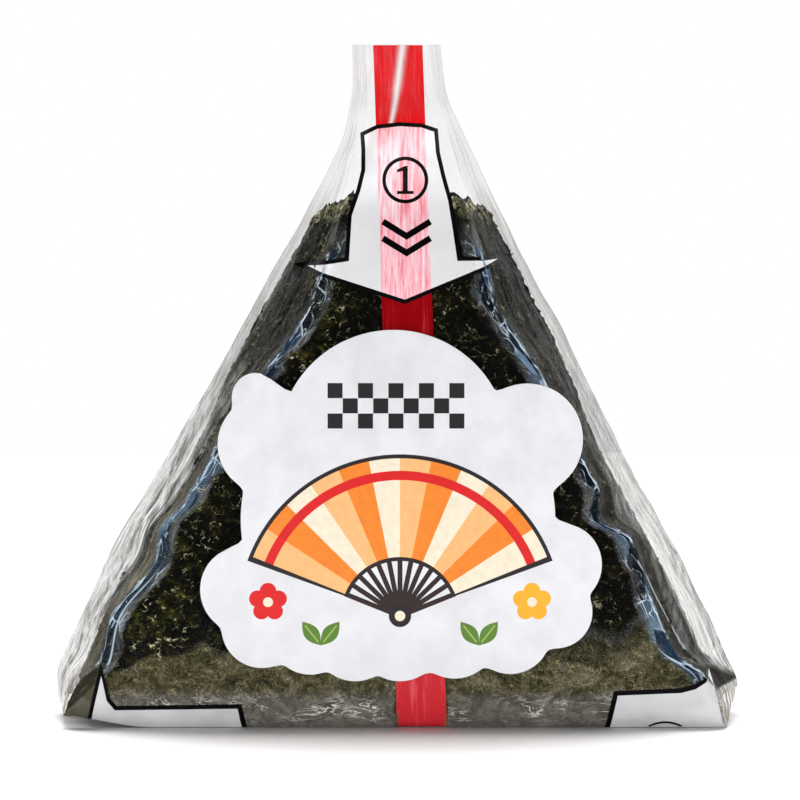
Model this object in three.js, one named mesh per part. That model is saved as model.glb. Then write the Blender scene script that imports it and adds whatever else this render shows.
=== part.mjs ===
// A triangular rice ball wrapped in nori and sealed in clear film, with a tear tape and a die-cut label.
// Millimetres, +Z up. The front face looks along -Y, and the origin is under the middle of the base.
import * as THREE from "three";
import { mergeVertices } from "three/addons/utils/BufferGeometryUtils.js";

// Driving dimensions of the pack
const HEIGHT = 104; // from the base to the top of the pull tab
const CORNER_HALF_WIDTH = 53; // from the middle to a bottom corner
const TAB_HALF_WIDTH = 6.8;
const HALF_DEPTH = 16.6; // from the middle plane to the front face
const TAB_HALF_DEPTH = 1.4;
const CROWN = 0.8; // how far the filled face bulges at its middle
const SIDE_HOLLOW = 1.2; // how far the slack film of a side wall sags inwards

// Driving dimensions of the tape and the label
const TAPE_WIDTH = 7.6;
const TAPE_THICKNESS = 0.3;
const TAPE_RECESS = 0.1;
const LABEL_THICKNESS = 0.35;
const CLEARANCE = 0.3; // between two pieces that touch
const GROOVE_DEPTH = TAPE_RECESS + TAPE_THICKNESS + CLEARANCE;
const GROOVE_WALL = 0.08; // how far a groove's wall leans

const FRONT = -1;
const BACK = 1;
const LEFT = -1;
const RIGHT = 1;

// The outline along the height: pairs of height and value, joined by a smooth curve
const halfWidth = curveThrough([
  [0, CORNER_HALF_WIDTH], [4.4, CORNER_HALF_WIDTH], [10, 51], [19.5, 47], [26, 43.8], [41, 35.1], [60, 24.9],
  [75, 16.7], [85, 11.8], [93, 8.3], [98, TAB_HALF_WIDTH + 0.3], [HEIGHT, TAB_HALF_WIDTH],
]);
const halfDepth = curveThrough([
  [0, HALF_DEPTH - 1.8], [1.2, HALF_DEPTH - 0.7], [3.5, HALF_DEPTH - 0.1], [40, HALF_DEPTH], [72, HALF_DEPTH - 0.3],
  [79, 14.6], [86, 10], [93, 4], [98, TAB_HALF_DEPTH + 0.4], [HEIGHT, TAB_HALF_DEPTH],
]);
const lean = curveThrough([[0, -0.2], [26, -1], [45, -0.4], [60, 0], [75, 0.4], [88, 0.7], [96, 0], [HEIGHT, -0.6]]);
const crown = curveThrough([[0, 0], [6, CROWN / 2], [35, CROWN], [68, CROWN / 2], [80, 0], [HEIGHT, 0]]);

// How far the fold between a face and a side wall stands in from the side seam
const bevels = {
  [LEFT]: curveThrough([
    [0, 2], [6, 4.5], [10, 6.2], [17, 5.2], [25.5, 8], [31, 6.2], [35, 7.3], [44, 6.5], [54, 7.7], [62, 8.8],
    [74, 6.5], [84, 4.5], [93, 2.5], [HEIGHT, 2],
  ]),
  [RIGHT]: curveThrough([
    [0, 3], [8, 4.8], [12, 8.2], [20, 7.8], [29, 6.2], [32, 9.2], [37, 6.9], [54, 6.6], [63, 8.3], [70, 6.6],
    [84, 4.5], [93, 2.5], [HEIGHT, 2],
  ]),
};
const cornerLift = { [LEFT]: 0.9, [RIGHT]: 4.6 }; // how far each corner's tip stands above the end of the base
const CORNER_REACH = 20; // height at which the corners' lift has faded out
const CURL = { lift: 1.8, from: 38, to: 52 }; // the left end of the base curls up
const ROUNDING_HEIGHT = 3; // of the long bottom edges

// Pleats where the film gathers into the tab
const PLEAT = { height: 0.45, pitch: 3.1, from: 80, to: 100 };
const TAB_BOW = { forward: 1.1, from: 92, to: 99 };

// The tape's middle line, which runs slightly askew over the face
const tapeMiddle = (z) => 3.35 - 0.0355 * z;

// Heights of the grid's rows, closer together where the form turns
const ROWS = [
  0, 0.8, 1.8, ROUNDING_HEIGHT, 5.5, 8, 10, 12, 14.5, 17, 20, 23, 26, 29, 32, 35, 38.5, 42, 46, 50, 54, 58.5, 63,
  67.5, 71.5, 75, 78, 81, 84, 87, 90, 93, 96, 98.5, 101, HEIGHT,
];
const SIDE_COLUMNS = 4;
const FACE_COLUMNS = 10;
const BASE_ROWS = 6;

// The label's outline: round lobes about its middle, as [x, z, radius]
const LABEL_MIDDLE = { x: -0.3, z: 32.1 };
const LABEL_LOBES = [
  [0, 0, 23.8], [-0.7, 11.4, 17.4], [-21.4, 18.5, 3.8], [-19.9, 11.4, 7.4], [19.5, 12.2, 8.5],
  [-23.2, -10.6, 6.8], [-20.6, -16.4, 6.2], [-13.3, -17.5, 6.1], [-6.5, -18.2, 6.4], [0.3, -18.2, 6.4],
  [8.6, -17.8, 6.4], [17, -17.3, 6.2], [23.9, -14, 5.6], [24.5, -6.8, 6.4],
];
const LABEL_STEPS = 108;
const LABEL_RINGS = [0.3, 0.6, 0.85, 1];

// A monotone cubic curve through [place, value] pairs, level beyond both ends.
function curveThrough(stations) {
  const gap = (i) => stations[i + 1][0] - stations[i][0];
  const slope = (i) => (stations[i + 1][1] - stations[i][1]) / gap(i);
  const last = stations.length - 1;
  const tangents = stations.map((_, i) => {
    if (i === 0) return slope(0);
    if (i === last) return slope(last - 1);
    const before = slope(i - 1);
    const after = slope(i);
    if (before * after <= 0) return 0;
    const sum = gap(i - 1) + gap(i);
    return (3 * sum) / ((sum + gap(i)) / before + (sum + gap(i - 1)) / after);
  });
  return (place) => {
    if (place <= stations[0][0]) return stations[0][1];
    if (place >= stations[last][0]) return stations[last][1];
    const i = stations.findIndex((station, k) => k < last && place < stations[k + 1][0]);
    const width = gap(i);
    const t = (place - stations[i][0]) / width;
    const rise = t * t * (3 - 2 * t);
    return (
      stations[i][1] * (1 - rise) + stations[i + 1][1] * rise +
      width * t * (1 - t) * ((1 - t) * tangents[i] - t * tangents[i + 1])
    );
  };
}

const mix = (a, b, t) => a + (b - a) * t;
const smooth = (from, to, value) => THREE.MathUtils.smoothstep(value, from, to);

// The film's form

// The back face's left fold follows the front face's right one, so that the two faces aren't mirror images.
const bevelAt = (face, side, z) => bevels[face === FRONT ? side : -side](z);

const seamX = (side, z) => lean(z) + side * halfWidth(z);
const foldX = (face, side, z) => lean(z) + side * (halfWidth(z) - bevelAt(face, side, z));

// How far the pinched tab bows towards the front
function bowAt(x, z) {
  const across = (x - lean(z)) / halfWidth(z);
  return TAB_BOW.forward * smooth(TAB_BOW.from, TAB_BOW.to, z) * (1 - across * across);
}

// Gathers beside the tape, which itself stays flat
function pleatAt(x, z) {
  const beside = Math.abs(x - tapeMiddle(z)) - (TAPE_WIDTH / 2 + CLEARANCE);
  const window = smooth(PLEAT.from, PLEAT.from + 6, z) * (1 - smooth(PLEAT.to - 4, PLEAT.to, z));
  return PLEAT.height * window * smooth(0, 1.5, beside) * Math.sin((2 * Math.PI * beside) / PLEAT.pitch);
}

// Distance from the middle plane to the skin of a face, without the bow
function faceDepth(x, z) {
  const across = (x - lean(z)) / halfWidth(z);
  return halfDepth(z) + crown(z) * (1 - across * across);
}

function skinDepth(face, x, z) {
  const side = x < lean(z) ? LEFT : RIGHT;
  const fold = foldX(face, side, z);
  const beyond = (x - fold) * side;
  if (beyond <= 0) return faceDepth(x, z) + pleatAt(x, z);
  const share = Math.min(1, beyond / bevelAt(face, side, z));
  const hollow = SIDE_HOLLOW * Math.sin(Math.PI * share) * smooth(2, 14, z) * (1 - smooth(80, 92, z));
  return (faceDepth(fold, z) + pleatAt(fold, z)) * (1 - share) - hollow;
}

// The curl of the base's left end
const baseHeight = (x) => CURL.lift * smooth(CURL.from, CURL.to, -x);

// A point of the skin, or of a groove that is cut depth deep into it
function skinPoint(face, x, z, depth = 0) {
  const level = 1 - smooth(0, CORNER_REACH, z);
  const turned = Math.max(0, 1 - z / ROUNDING_HEIGHT);
  return new THREE.Vector3(
    x,
    face * (skinDepth(face, x, z) - depth) - bowAt(x, z),
    z + baseHeight(x) * level + depth * turned,
  );
}

// Columns of the grid: each gives a point of the skin for a face and a row's height.
function sideColumns(side) {
  return Array.from({ length: SIDE_COLUMNS }, (_, i) => {
    const share = 1 - i / SIDE_COLUMNS;
    return (face, row) => {
      const z = row + cornerLift[side] * share * Math.max(0, 1 - row / CORNER_REACH);
      return skinPoint(face, mix(foldX(face, side, z), seamX(side, z), share), z);
    };
  });
}

function faceColumns(side) {
  const edge = TAPE_WIDTH / 2 + CLEARANCE + GROOVE_WALL;
  return Array.from({ length: FACE_COLUMNS + 1 }, (_, i) => (face, z) => {
    const inner = tapeMiddle(z) + side * edge;
    return skinPoint(face, mix(foldX(face, side, z), inner, i / FACE_COLUMNS), z);
  });
}

function grooveColumns() {
  const half = TAPE_WIDTH / 2 + CLEARANCE;
  return [-half, 0, half].map((x) => (face, z) => skinPoint(face, tapeMiddle(z) + x, z, GROOVE_DEPTH));
}

function tapeColumns(depth) {
  return [-TAPE_WIDTH / 2, 0, TAPE_WIDTH / 2].map(
    (x) => (face, z) => skinPoint(face, tapeMiddle(z) + x, z, depth),
  );
}

// Mesh helpers

class Surface {
  triangles = [];

  triangle(a, b, c) {
    if (a.distanceTo(b) > 1e-4 && b.distanceTo(c) > 1e-4 && c.distanceTo(a) > 1e-4) this.triangles.push(a, b, c);
  }

  // Both triangles of a quad, cut along its shorter diagonal
  quad(a, b, c, d) {
    if (a.distanceTo(c) <= b.distanceTo(d)) {
      this.triangle(a, b, c);
      this.triangle(a, c, d);
    } else {
      this.triangle(a, b, d);
      this.triangle(b, c, d);
    }
  }

  // Rows of points as a sheet, which faces the side from which rows go up and columns go right
  sheet(rows, flipped = false) {
    for (let i = 0; i + 1 < rows.length; i++)
      for (let j = 0; j + 1 < rows[i].length; j++) {
        const corners = [rows[i][j], rows[i][j + 1], rows[i + 1][j + 1], rows[i + 1][j]];
        this.quad(...(flipped ? corners.reverse() : corners));
      }
  }

  geometry() {
    const flat = new THREE.BufferGeometry().setFromPoints(this.triangles);
    const merged = mergeVertices(flat, 1e-4);
    merged.computeVertexNormals();
    return merged;
  }
}

// Rows of the base between the front and the back bottom edges
function baseRows(frontEdge, backEdge) {
  return Array.from({ length: BASE_ROWS + 1 }, (_, i) =>
    frontEdge.map((point, j) => point.clone().lerp(backEdge[j], i / BASE_ROWS)),
  );
}

// The wrapper: both faces from the left seam to the right one, the base and the tab's cut end
function wrapperGeometry() {
  const columns = [
    ...sideColumns(LEFT), ...faceColumns(LEFT), ...grooveColumns(),
    ...faceColumns(RIGHT).reverse(), ...sideColumns(RIGHT).reverse(),
  ];
  const grid = (face) => ROWS.map((z) => columns.map((column) => column(face, z)));
  const front = grid(FRONT);
  const back = grid(BACK);
  const surface = new Surface();
  surface.sheet(front);
  surface.sheet(back, true);
  surface.sheet(baseRows(front[0], back[0]), true);
  surface.sheet([front.at(-1), back.at(-1)]);
  return surface.geometry();
}

// The tape: one strip down the front, under the base and up the back
function tapeGeometry() {
  const run = (depth) => {
    const columns = tapeColumns(depth);
    const rows = (face) => ROWS.map((z) => columns.map((column) => column(face, z)));
    const front = rows(FRONT);
    const back = rows(BACK);
    return [...front.reverse(), ...baseRows(front.at(-1), back[0]).slice(1, -1), ...back];
  };
  const outer = run(TAPE_RECESS);
  const inner = run(TAPE_RECESS + TAPE_THICKNESS);
  const surface = new Surface();
  surface.sheet(outer, true);
  surface.sheet(inner);
  for (const edge of [0, outer[0].length - 1])
    surface.sheet([outer.map((row) => row[edge]), inner.map((row) => row[edge])], edge === 0);
  surface.sheet([outer[0], inner[0]]);
  surface.sheet([outer.at(-1), inner.at(-1)], true);
  return surface.geometry();
}

// The farthest point of any lobe in a direction from the label's middle
function lobeReach(angle) {
  const direction = [Math.cos(angle), Math.sin(angle)];
  return Math.max(
    ...LABEL_LOBES.map(([x, z, radius]) => {
      const along = direction[0] * x + direction[1] * z;
      const room = along * along - (x * x + z * z) + radius * radius;
      return room < 0 ? 0 : along + Math.sqrt(room);
    }),
  );
}

// The label: a thin sheet that lies on the face, wider than it in places
function labelGeometry() {
  const step = (2 * Math.PI) / LABEL_STEPS;
  const reach = (i) => (lobeReach((i - 0.5) * step) + 2 * lobeReach(i * step) + lobeReach((i + 0.5) * step)) / 4;
  const point = (i, share, out) => {
    const x = LABEL_MIDDLE.x + share * reach(i) * Math.cos(i * step);
    const z = LABEL_MIDDLE.z + share * reach(i) * Math.sin(i * step);
    return new THREE.Vector3(x, -faceDepth(x, z) - out, z);
  };
  const around = (share, out) => Array.from({ length: LABEL_STEPS + 1 }, (_, i) => point(i % LABEL_STEPS, share, out));
  const surface = new Surface();
  const faces = [CLEARANCE, CLEARANCE + LABEL_THICKNESS].map((out) => {
    const rings = LABEL_RINGS.map((share) => around(share, out));
    const middle = Array(LABEL_STEPS + 1).fill(point(0, 0, out));
    return [middle, ...rings];
  });
  surface.sheet(faces[0]);
  surface.sheet(faces[1], true);
  surface.sheet([faces[0].at(-1), faces[1].at(-1)]);
  return surface.geometry();
}

// The object

const materials = {
  wrapper: new THREE.MeshStandardMaterial({ color: 0x2a2f22, roughness: 0.25, metalness: 0 }),
  tape: new THREE.MeshStandardMaterial({ color: 0xd8101c, roughness: 0.3, metalness: 0 }),
  label: new THREE.MeshStandardMaterial({ color: 0xf4f3f6, roughness: 0.45, metalness: 0 }),
};

function piece(name, geometry, material) {
  const mesh = new THREE.Mesh(geometry, material);
  mesh.name = name;
  return mesh;
}

const riceBallPack = new THREE.Group();
riceBallPack.add(
  piece("wrapper", wrapperGeometry(), materials.wrapper),
  piece("pull_tape", tapeGeometry(), materials.tape),
  piece("label", labelGeometry(), materials.label),
);

export default riceBallPack;
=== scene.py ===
"""A triangular rice ball in nori, sealed in clear crinkled film with a red tear tape and a die-cut label.

Forms are worked out in millimetres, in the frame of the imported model: the front face looks along -Y.
"""

import math

import bpy
import numpy as np
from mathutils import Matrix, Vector, noise
from mathutils.bvhtree import BVHTree
from mathutils.geometry import delaunay_2d_cdt


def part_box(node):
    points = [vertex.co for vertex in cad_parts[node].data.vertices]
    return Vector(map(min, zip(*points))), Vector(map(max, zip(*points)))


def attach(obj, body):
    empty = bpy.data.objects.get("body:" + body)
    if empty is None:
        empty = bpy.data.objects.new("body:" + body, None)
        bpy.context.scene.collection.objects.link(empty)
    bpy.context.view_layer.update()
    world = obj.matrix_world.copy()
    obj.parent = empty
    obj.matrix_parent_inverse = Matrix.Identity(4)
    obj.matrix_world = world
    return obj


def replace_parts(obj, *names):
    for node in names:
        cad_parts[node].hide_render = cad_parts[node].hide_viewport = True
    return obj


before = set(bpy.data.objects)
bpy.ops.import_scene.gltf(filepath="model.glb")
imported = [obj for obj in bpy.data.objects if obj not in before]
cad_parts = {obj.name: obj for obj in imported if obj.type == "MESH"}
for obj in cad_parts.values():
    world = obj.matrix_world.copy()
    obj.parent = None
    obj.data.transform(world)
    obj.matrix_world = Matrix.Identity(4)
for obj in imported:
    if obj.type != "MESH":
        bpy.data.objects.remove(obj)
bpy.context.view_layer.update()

MM = 0.001

# Driving dimensions of the pack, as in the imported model
low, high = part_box("wrapper")
HEIGHT = high.z / MM
TAB_HALF_WIDTH = 6.8
HALF_DEPTH = 16.6
CROWN = 0.8
SIDE_HOLLOW = 1.2
TAPE_WIDTH = 7.6
TAPE_FOOT_X = 3.35
TAPE_SLANT = 0.0355  # sideways for each millimetre up
LABEL_THICKNESS = 0.35
LABEL_GAP = 0.3  # between the film's face and the label
CORNER_HALF_WIDTH = 53

FRONT = -1
BACK = 1


def curve_through(*stations):
    """A monotone cubic curve through (place, value) pairs, level beyond both ends."""
    places, values = np.array(stations, float).T
    gaps = np.diff(places)
    slopes = np.diff(values) / gaps
    tangents = np.concatenate([slopes[:1], np.zeros(len(gaps) - 1), slopes[-1:]])
    for i in range(1, len(gaps)):
        before, after = slopes[i - 1], slopes[i]
        if before * after > 0:
            both = gaps[i - 1] + gaps[i]
            tangents[i] = 3 * both / ((both + gaps[i]) / before + (both + gaps[i - 1]) / after)

    def at(place):
        place = np.clip(place, places[0], places[-1])
        i = np.clip(np.searchsorted(places, place, side="right") - 1, 0, len(gaps) - 1)
        t = (place - places[i]) / gaps[i]
        rise = t * t * (3 - 2 * t)
        bend = (1 - t) * tangents[i] - t * tangents[i + 1]
        return values[i] * (1 - rise) + values[i + 1] * rise + gaps[i] * t * (1 - t) * bend

    return at


def smooth(start, end, value):
    t = np.clip((value - start) / (end - start), 0, 1)
    return t * t * (3 - 2 * t)


def mix(a, b, t):
    return a + (b - a) * t


def bell(value, middle, width):
    return np.exp(-(((value - middle) / width) ** 2))


def unit(vectors):
    return vectors / np.linalg.norm(vectors, axis=-1, keepdims=True)


def directions(angles):
    return np.stack([np.cos(angles), np.sin(angles)], -1)


def grain(x, y, z, octaves=1):
    """Perlin noise at each place, about -0.5 to 0.5, for arrays of any shape."""
    places = np.stack(np.broadcast_arrays(x, y, z), -1)
    flat = places.reshape(-1, 3).tolist()
    if octaves == 1:
        values = [noise.noise(place) for place in flat]
    else:
        values = [noise.fractal(place, 1, 2, octaves) for place in flat]
    return np.array(values).reshape(places.shape[:-1])


def ridges(x, y, z):
    """Sharp creases where the noise changes sign: 1 on a crease, falling to 0."""
    return 1 - np.minimum(1, np.abs(grain(x, y, z, 2)) * 3)


# The pack's form along its height
half_width = curve_through(
    (0, CORNER_HALF_WIDTH), (4.4, CORNER_HALF_WIDTH), (10, 51), (19.5, 47), (26, 43.8), (41, 35.1),
    (60, 24.9), (75, 16.7), (85, 11.8), (93, 8.3), (98, TAB_HALF_WIDTH + 0.3), (HEIGHT, TAB_HALF_WIDTH),
)
half_depth = curve_through(
    (0, HALF_DEPTH - 1.8), (1.2, HALF_DEPTH - 0.7), (3.5, HALF_DEPTH - 0.1), (40, HALF_DEPTH),
    (72, HALF_DEPTH - 0.3), (79, 14.6), (86, 10), (93, 4), (98, 1.8), (HEIGHT, 1.4),
)
lean = curve_through((0, -0.2), (26, -1), (45, -0.4), (60, 0), (75, 0.4), (88, 0.7), (96, 0), (HEIGHT, -0.6))
crown = curve_through((0, 0), (6, CROWN / 2), (35, CROWN), (68, CROWN / 2), (80, 0), (HEIGHT, 0))
bevel_left = curve_through(
    (0, 2), (6, 4.5), (10, 6.2), (17, 5.2), (25.5, 8), (31, 6.2), (35, 7.3), (44, 6.5), (54, 7.7), (62, 8.8),
    (74, 6.5), (84, 4.5), (93, 2.5), (HEIGHT, 2),
)
bevel_right = curve_through(
    (0, 3), (8, 4.8), (12, 8.2), (20, 7.8), (29, 6.2), (32, 9.2), (37, 6.9), (54, 6.6), (63, 8.3), (70, 6.6),
    (84, 4.5), (93, 2.5), (HEIGHT, 2),
)
CORNER_LIFT = {-1: 0.9, 1: 4.6}
CORNER_REACH = 20
CURL = {"lift": 1.8, "start": 38, "end": 52}
SIDE_LENGTH = 18  # from a fold to the seam, along the side wall


def tape_middle(z):
    return TAPE_FOOT_X - TAPE_SLANT * z


def bevel(face, side, z):
    on_left = side < 0 if face == FRONT else side > 0
    return np.where(on_left, bevel_left(z), bevel_right(z))


def fold_x(face, side, z):
    return lean(z) + side * (half_width(z) - bevel(face, side, z))


def bow(x, z):
    across = (x - lean(z)) / half_width(z)
    return 1.1 * smooth(92, 99, z) * (1 - across * across)


def face_depth(x, z):
    across = (x - lean(z)) / half_width(z)
    return half_depth(z) + crown(z) * (1 - across * across)


def skin_depth(face, x, z):
    side = np.where(x < lean(z), -1, 1)
    fold = fold_x(face, side, z)
    beyond = np.maximum(0, (x - fold) * side)
    share = np.minimum(1, beyond / bevel(face, side, z))
    hollow = SIDE_HOLLOW * np.sin(np.pi * share) * smooth(2, 14, z) * (1 - smooth(80, 92, z))
    return np.where(beyond > 0, face_depth(fold, z) * (1 - share) - hollow, face_depth(x, z))


def base_height(x):
    return CURL["lift"] * smooth(CURL["start"], CURL["end"], -x)


def level(z):
    """How much of the base's curl is left at a height."""
    return 1 - smooth(0, CORNER_REACH, z)


# Mesh and material helpers

def scene_object(name, data):
    thing = bpy.data.objects.new(name, data)
    bpy.context.scene.collection.objects.link(thing)
    return thing


def mesh_piece(name, vertices, faces, body="root"):
    """A smooth-shaded mesh object from places in millimetres, riding on a body."""
    mesh = bpy.data.meshes.new(name)
    mesh.from_pydata((np.asarray(vertices, float) * MM).tolist(), [], faces)
    mesh.update()
    mesh.shade_smooth()
    piece = scene_object(name, mesh)
    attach(piece, body)
    return piece


def grid_faces(rows, columns, closed=False):
    """Quads of a grid of points, counted row by row; closed joins the last column to the first."""
    index = np.arange(rows * columns).reshape(rows, columns)
    if closed:
        index = np.hstack([index, index[:, :1]])
    corners = [index[:-1, :-1], index[:-1, 1:], index[1:, 1:], index[1:, :-1]]
    return np.stack([c.ravel() for c in corners], -1).tolist()


def add_field(piece, name, values):
    """A number on each vertex that a material can read."""
    attribute = piece.data.attributes.new(name, "FLOAT", "POINT")
    attribute.data.foreach_set("value", np.asarray(values, np.float32).ravel())


def add_map(piece, name, u, v):
    """A two-number place on each vertex, as a vector that a material can read."""
    attribute = piece.data.attributes.new(name, "FLOAT_VECTOR", "POINT")
    flat = np.stack([u.ravel(), v.ravel(), np.zeros(u.size)], -1)
    attribute.data.foreach_set("vector", flat.astype(np.float32).ravel())


class Nodes:
    """Short calls for building the nodes of a material or of the world."""

    def __init__(self, name, world=False):
        self.owner = bpy.data.worlds.new(name) if world else bpy.data.materials.new(name)
        self.owner.use_nodes = True
        self.tree = self.owner.node_tree
        self.tree.nodes.clear()
        self.output = self.add("OutputWorld" if world else "OutputMaterial")

    def add(self, kind, settings=None, **inputs):
        node = self.tree.nodes.new("ShaderNode" + kind)
        for key, value in (settings or {}).items():
            setattr(node, key, value)
        for key, value in inputs.items():
            self.set(node.inputs[key.replace("_", " ")], value)
        return node

    def set(self, socket, value):
        if isinstance(value, bpy.types.NodeSocket):
            self.tree.links.new(value, socket)
        else:
            socket.default_value = value

    def math(self, operation, a, b=0.0, clamp=False):
        node = self.add("Math", {"operation": operation, "use_clamp": clamp})
        self.set(node.inputs[0], a)
        self.set(node.inputs[1], b)
        return node.outputs[0]

    def plus(self, a, b, clamp=False):
        return self.math("ADD", a, b, clamp)

    def minus(self, a, b, clamp=False):
        return self.math("SUBTRACT", a, b, clamp)

    def times(self, a, b, clamp=False):
        return self.math("MULTIPLY", a, b, clamp)

    def larger(self, a, b):
        return self.math("MAXIMUM", a, b)

    def lines(self, noise, core, edge):
        """Thin lines where a noise crosses its middle: 1 within core of it, 0 beyond edge."""
        return self.ramp(self.math("ABSOLUTE", self.minus(noise, 0.5)), (core, 1.0), (edge, 0.0))

    def field(self, name):
        return self.add("Attribute", {"attribute_name": name}).outputs["Fac"]

    def place(self, name=None, scale=(1, 1, 1)):
        """Places in millimetres, from the object's own coordinates or from a named map."""
        if name is None:
            source = self.add("TexCoord").outputs["Object"]
            scale = tuple(s / MM for s in scale)
        else:
            source = self.add("Attribute", {"attribute_name": name}).outputs["Vector"]
        node = self.add("Mapping")
        self.set(node.inputs["Vector"], source)
        node.inputs["Scale"].default_value = scale
        return node.outputs["Vector"]

    def noise(self, vector, size=1.0, detail=2.0, rough=0.5, distortion=0.0):
        node = self.add("TexNoise", Scale=1 / size, Detail=detail, Roughness=rough, Distortion=distortion)
        self.set(node.inputs["Vector"], vector)
        return node.outputs["Fac"]

    def cells(self, vector, size=1.0, feature="F1", output="Distance"):
        node = self.add("TexVoronoi", {"feature": feature}, Scale=1 / size)
        self.set(node.inputs["Vector"], vector)
        return node.outputs[output]

    def ramp(self, value, *stops):
        """A colour or grey ramp through (place, colour) stops."""
        node = self.add("ValToRGB")
        elements = node.color_ramp.elements
        while len(elements) < len(stops):
            elements.new(1)
        for element, (place, colour) in zip(elements, stops):
            element.position = place
            element.color = (*colour, 1) if isinstance(colour, tuple) else (colour, colour, colour, 1)
        self.set(node.inputs["Fac"], value)
        return node.outputs["Color"]

    def blend(self, a, b, factor):
        node = self.add("Mix", {"data_type": "RGBA"})
        self.set(node.inputs["Factor"], factor)
        self.set(node.inputs[6], a)
        self.set(node.inputs[7], b)
        return node.outputs[2]

    def bump(self, height, distance, strength):
        return self.add("Bump", Strength=strength, Distance=distance * MM, Height=height).outputs["Normal"]

    def mix_shaders(self, a, b, factor):
        node = self.add("MixShader")
        self.set(node.inputs[0], factor)
        self.set(node.inputs[1], a)
        self.set(node.inputs[2], b)
        return node.outputs[0]

    def painted(self, colour, rough, specular=0.5, normal=None):
        node = self.add("BsdfPrincipled", Base_Color=colour, Roughness=rough, Specular_IOR_Level=specular)
        if normal is not None:
            self.set(node.inputs["Normal"], normal)
        return node.outputs[0]

    def finish(self, shader):
        self.set(self.output.inputs["Surface"], shader)
        return self.owner


def paint(piece, slot, *materials):
    for material in materials:
        piece.data.materials.append(material)
    return piece


# The film

def film_columns(face_count, side_count):
    """Places across one face of the film, closer near the folds: folds at -1 and 1, seams at -2 and 2."""
    side = 1 + np.linspace(0, 1, side_count + 1)[1:] ** 1.15
    even = np.linspace(-1, 1, face_count + 1)
    face = even + 0.09 * np.sin(np.pi * even)
    return np.concatenate([-side[::-1], face, side])


def film_skin(face, columns, rows):
    """Places of one face of the smooth film, for each row's height and each column."""
    c, row = np.meshgrid(columns, rows)
    side = np.where(c < 0, -1, 1)
    share = np.maximum(0, np.abs(c) - 1)
    lift = np.where(side < 0, CORNER_LIFT[-1], CORNER_LIFT[1])
    z = row + lift * share * np.maximum(0, 1 - row / CORNER_REACH)
    left = fold_x(face, -1, z)
    right = fold_x(face, 1, z)
    on_face = mix(left, right, (np.clip(c, -1, 1) + 1) / 2)
    x = on_face + side * share * bevel(face, side, z)
    depth = skin_depth(face, x, z)
    y = face * depth - bow(x, z)
    return x, y, z + base_height(x) * level(z), c, share


def from_fold(face, x, z, c, share):
    """Distance from the nearest fold: negative on the side walls, positive on the face."""
    side = np.where(c < 0, -1, 1)
    return np.where(share > 0, -share * SIDE_LENGTH, np.abs(x - fold_x(face, side, z)))


def film_folds(face, x, z, c, share):
    """How far the film's wrinkles stand out of the smooth skin."""
    side = np.where(c < 0, -1, 1)
    fold = from_fold(face, x, z, c, share)
    turn = 7.3 * face + side
    near_fold = bell(fold, 0.4, 1.7) * (1 - smooth(80, 88, z))
    crinkle = ridges(fold / 2.2, z / 6, turn) - 0.35
    wall = np.sin(np.pi * share) * (1 - smooth(88, 96, z)) * smooth(4, 14, z)
    long_folds = 0.9 * grain(share * 4.5, z / 34, turn, 2)
    long_folds += 0.35 * (ridges(share * 5, z / 22, turn + 3) - 0.4)
    gable = smooth(78, 86, z) * (1 - smooth(95, 100, z)) * (1 - share)
    across = (x - lean(z)) / half_width(z)
    gathers = grain(across * 3.2, z / 26, 7.3 * face + 5, 2)
    foot = bell(z, 2.6, 2.2) * (1 - share)
    crumples = ridges(x / 6, z / 2.2, 7.3 * face + 7) - 0.3
    on_face = (1 - share) * (1 - near_fold)
    drift = grain(x / 12, z / 12, 7.3 * face + 9)
    return (
        0.34 * near_fold * crinkle + wall * long_folds + 0.7 * gable * gathers
        + 0.22 * foot * crumples + 0.08 * on_face * drift
    )


def seam_waver(z, side):
    """The seam's own small kinks, the same for both faces."""
    return 0.35 * grain(z / 9, side * 3.7, 0.5, 2) * smooth(4, 12, z) * (1 - smooth(94, 100, z))


def face_normals(x, y, z):
    places = np.stack([x, y, z], -1)
    along = np.gradient(places, axis=0)
    across = np.gradient(places, axis=1)
    normal = np.cross(across, along)
    return normal / np.maximum(np.linalg.norm(normal, axis=-1, keepdims=True), 1e-9)


def film_sheet(face, columns, rows):
    """Places of one wrinkled face of the film, and what its material has to know of each place."""
    x, y, z, c, share = film_skin(face, columns, rows)
    normal = face_normals(x, y, z) * -face
    out = film_folds(face, x, z, c, share) * smooth(0, 1.5, z) * (1 - smooth(HEIGHT - 1.5, HEIGHT, z))
    places = np.stack([x, y, z], -1) + normal * out[..., None]
    side = np.where(c < 0, -1, 1)
    places[..., 0] += seam_waver(z, side) * share
    places[..., 2] = np.maximum(places[..., 2], 0.05)
    return places, x, z, c, share


glare_x = curve_through((84, -2.35), (89, -2.0), (95, -0.8), (HEIGHT, 0.4))
ridge_x = curve_through((0, 49.5), (6.6, 46.5), (12, 43.7), (20, 39.3), (27.4, 35.4))


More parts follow.
